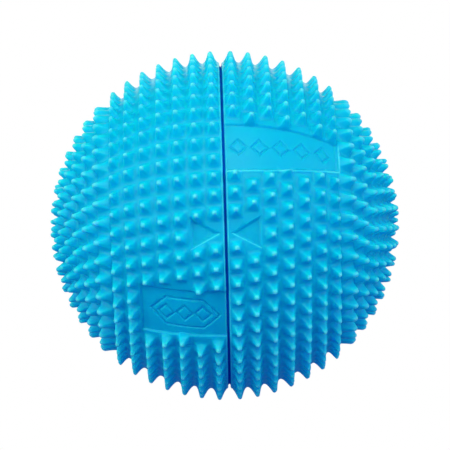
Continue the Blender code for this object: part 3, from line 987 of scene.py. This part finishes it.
def plastic_finish(name, colour, low, high):
    """Moulded rigid plastic: faint flow marks in its colour and a fine spark-eroded texture."""
    finish = Finish(name, colour, (low + high) / 2)
    shade = tuple(FLOW_SHADE * c for c in colour)
    finish.drive("Base Color", finish.ramp(finish.noise(120.0, 4.0), shade, colour))
    finish.drive("Roughness", finish.ramp(finish.noise(900.0, 3.0), low, high))
    finish.bump(finish.noise(6000.0, 3.0), 0.3, 0.00002)
    return finish.material


def metal_finish(name, colour, low, high):
    """Plated metal: a slightly clouded shine."""
    finish = Finish(name, colour, (low + high) / 2, metallic=1.0)
    shade = tuple(CLOUD_SHADE * c for c in colour)
    finish.drive("Base Color", finish.ramp(finish.noise(700.0, 4.0), shade, colour))
    finish.drive("Roughness", finish.ramp(finish.noise(1800.0, 3.0), low, high))
    finish.bump(finish.noise(5000.0), 0.15, 0.00001)
    return finish.material


def core_finish():
    """Dense smooth elastomer with a satin skin and faint clouding."""
    finish = Finish("core_elastomer", CORE_BLUE, 0.35)
    finish.drive("Base Color", finish.ramp(finish.noise(160.0, 4.0), *CORE_CLOUDS))
    finish.drive("Roughness", finish.ramp(finish.noise(1200.0, 3.0), 0.28, 0.42))
    finish.translucent(0.25, 0.001)
    finish.bump(finish.noise(7000.0, 3.0), 0.15, 0.00001)
    return finish.material


# ---- camera, light and floor --------------------------------------------------------------------
# The camera is fitted to the ball's outline, seam and panels in the photo.
CAMERA_DISTANCE = 14.8 * TIP_RADIUS
CAMERA_LENS = 206.4
CAMERA_ELEVATION = 2.6
CAMERA_YAW = -0.28
CAMERA_ROLL = -1.63
CAMERA_SHIFT = (0.0004, 0.0007)
# The soft boxes are fitted to its shading: (name, place, watts, colour).
LIGHTS = (
    ("top_softbox", (0.0, -0.6, 0.7), 3.8, (1.0, 1.0, 0.69)),
    ("high_softbox", (0.0, -0.8, 0.45), 1.9, (1.0, 1.0, 0.66)),
    ("front_fill", (0.0, -0.9, 0.15), 1.1, (0.5, 0.72, 1.0)),
    ("left_softbox", (-0.85, -0.3, 0.25), 3.9, (1.0, 1.0, 0.81)),
    ("right_softbox", (0.85, -0.3, 0.25), 2.5, (0.93, 0.93, 1.0)),
    ("back_softbox", (0.0, 0.95, 0.2), 3.2, (1.0, 1.0, 0.85)),
)
LIGHT_SIZE = 0.7
WORLD_BELOW = (0.06, 0.16, 0.42)
WORLD_ABOVE = (0.10, 0.22, 0.35)
WORLD_TURN = (0.25, 0.75)        # shares of the height where the one ends and the other begins
FLOOR_HALF_SIZE = 1.7
DOME_RADIUS = 2.5                # within the clipping distance of every view


def add_camera():
    data = bpy.data.cameras.new("camera")
    data.lens = CAMERA_LENS
    data.shift_x, data.shift_y = CAMERA_SHIFT
    data.clip_start = 0.01
    data.clip_end = 20.0
    camera = bpy.data.objects.new("camera", data)
    e, a = math.radians(CAMERA_ELEVATION), math.radians(CAMERA_YAW)
    back = Vector((math.sin(a) * math.cos(e), -math.cos(a) * math.cos(e), math.sin(e)))
    turn = (-back).to_track_quat("-Z", "Y").to_matrix().to_4x4()
    roll = Matrix.Rotation(math.radians(CAMERA_ROLL), 4, "Z")
    camera.matrix_world = Matrix.Translation(back * CAMERA_DISTANCE) @ turn @ roll
    bpy.context.scene.collection.objects.link(camera)
    bpy.context.scene.camera = camera


def add_lights():
    """Soft boxes round the ball, all turned to it."""
    for name, place, power, colour in LIGHTS:
        data = bpy.data.lights.new(name, "AREA")
        data.size = LIGHT_SIZE
        data.energy = power
        data.color = colour
        light = bpy.data.objects.new(name, data)
        light.location = place
        light.rotation_euler = (-Vector(place)).to_track_quat("-Z", "Y").to_euler()
        bpy.context.scene.collection.objects.link(light)


def add_world():
    """A dim blue glow from all round, deeper blue from below, for the shade between spikes."""
    world = bpy.data.worlds.new("studio")
    world.use_nodes = True
    tree = world.node_tree
    background = tree.nodes["Background"]
    place = tree.nodes.new("ShaderNodeTexCoord")
    split = tree.nodes.new("ShaderNodeSeparateXYZ")
    ramp = tree.nodes.new("ShaderNodeValToRGB")
    spread = tree.nodes.new("ShaderNodeMapRange")
    spread.inputs["From Min"].default_value = -1.0
    colours = (WORLD_BELOW, WORLD_ABOVE)
    for element, position, colour in zip(ramp.color_ramp.elements, WORLD_TURN, colours):
        element.position = position
        element.color = (*colour, 1.0)
    tree.links.new(place.outputs["Generated"], split.inputs["Vector"])
    tree.links.new(split.outputs["Z"], spread.inputs["Value"])
    tree.links.new(spread.outputs["Result"], ramp.inputs["Fac"])
    tree.links.new(ramp.outputs["Color"], background.inputs["Color"])
    background.inputs["Strength"].default_value = 1.0
    bpy.context.scene.world = world


def glow_material(name, strength):
    material = bpy.data.materials.new(name)
    material.use_nodes = True
    nodes = material.node_tree.nodes
    nodes.remove(nodes["Principled BSDF"])
    glow = nodes.new("ShaderNodeEmission")
    glow.inputs["Strength"].default_value = strength
    material.node_tree.links.new(glow.outputs["Emission"],
                                 nodes["Material Output"].inputs["Surface"])
    return material


def add_stage():
    """A white floor under the ball and a white dome round it, which only the camera sees."""
    white = glow_material("studio_white", 1.0)
    bm = bmesh.new()
    bmesh.ops.create_grid(bm, x_segments=1, y_segments=1, size=FLOOR_HALF_SIZE)
    bmesh.ops.translate(bm, vec=(0.0, 0.0, -TIP_RADIUS), verts=bm.verts)
    floor = piece_from_bmesh("floor", bm, white)
    bm = bmesh.new()
    bmesh.ops.create_uvsphere(bm, u_segments=32, v_segments=16, radius=DOME_RADIUS)
    dome = piece_from_bmesh("dome", bm, white)
    for piece in (floor, dome):
        piece.visible_diffuse = False
        piece.visible_glossy = False
        piece.visible_transmission = False
        piece.visible_shadow = False


# ---- the whole scene ----------------------------------------------------------------------------
def main():
    bpy.context.scene.view_settings.view_transform = "Standard"
    add_camera()
    rubber = cover_finish()
    for side in SIDES:
        build_cover(side, rubber)
    build_inside({
        "shell": plastic_finish("shell_plastic", SHELL_NAVY, 0.5, 0.65),
        "plate": plastic_finish("face_plate_plastic", PLATE_BLUE, 0.38, 0.52),
        "magnet": metal_finish("magnet_nickel", NICKEL, 0.15, 0.28),
        "screw": metal_finish("screw_zinc", ZINC, 0.25, 0.4),
        "core": core_finish(),
    })
    add_world()
    add_lights()
    add_stage()


main()
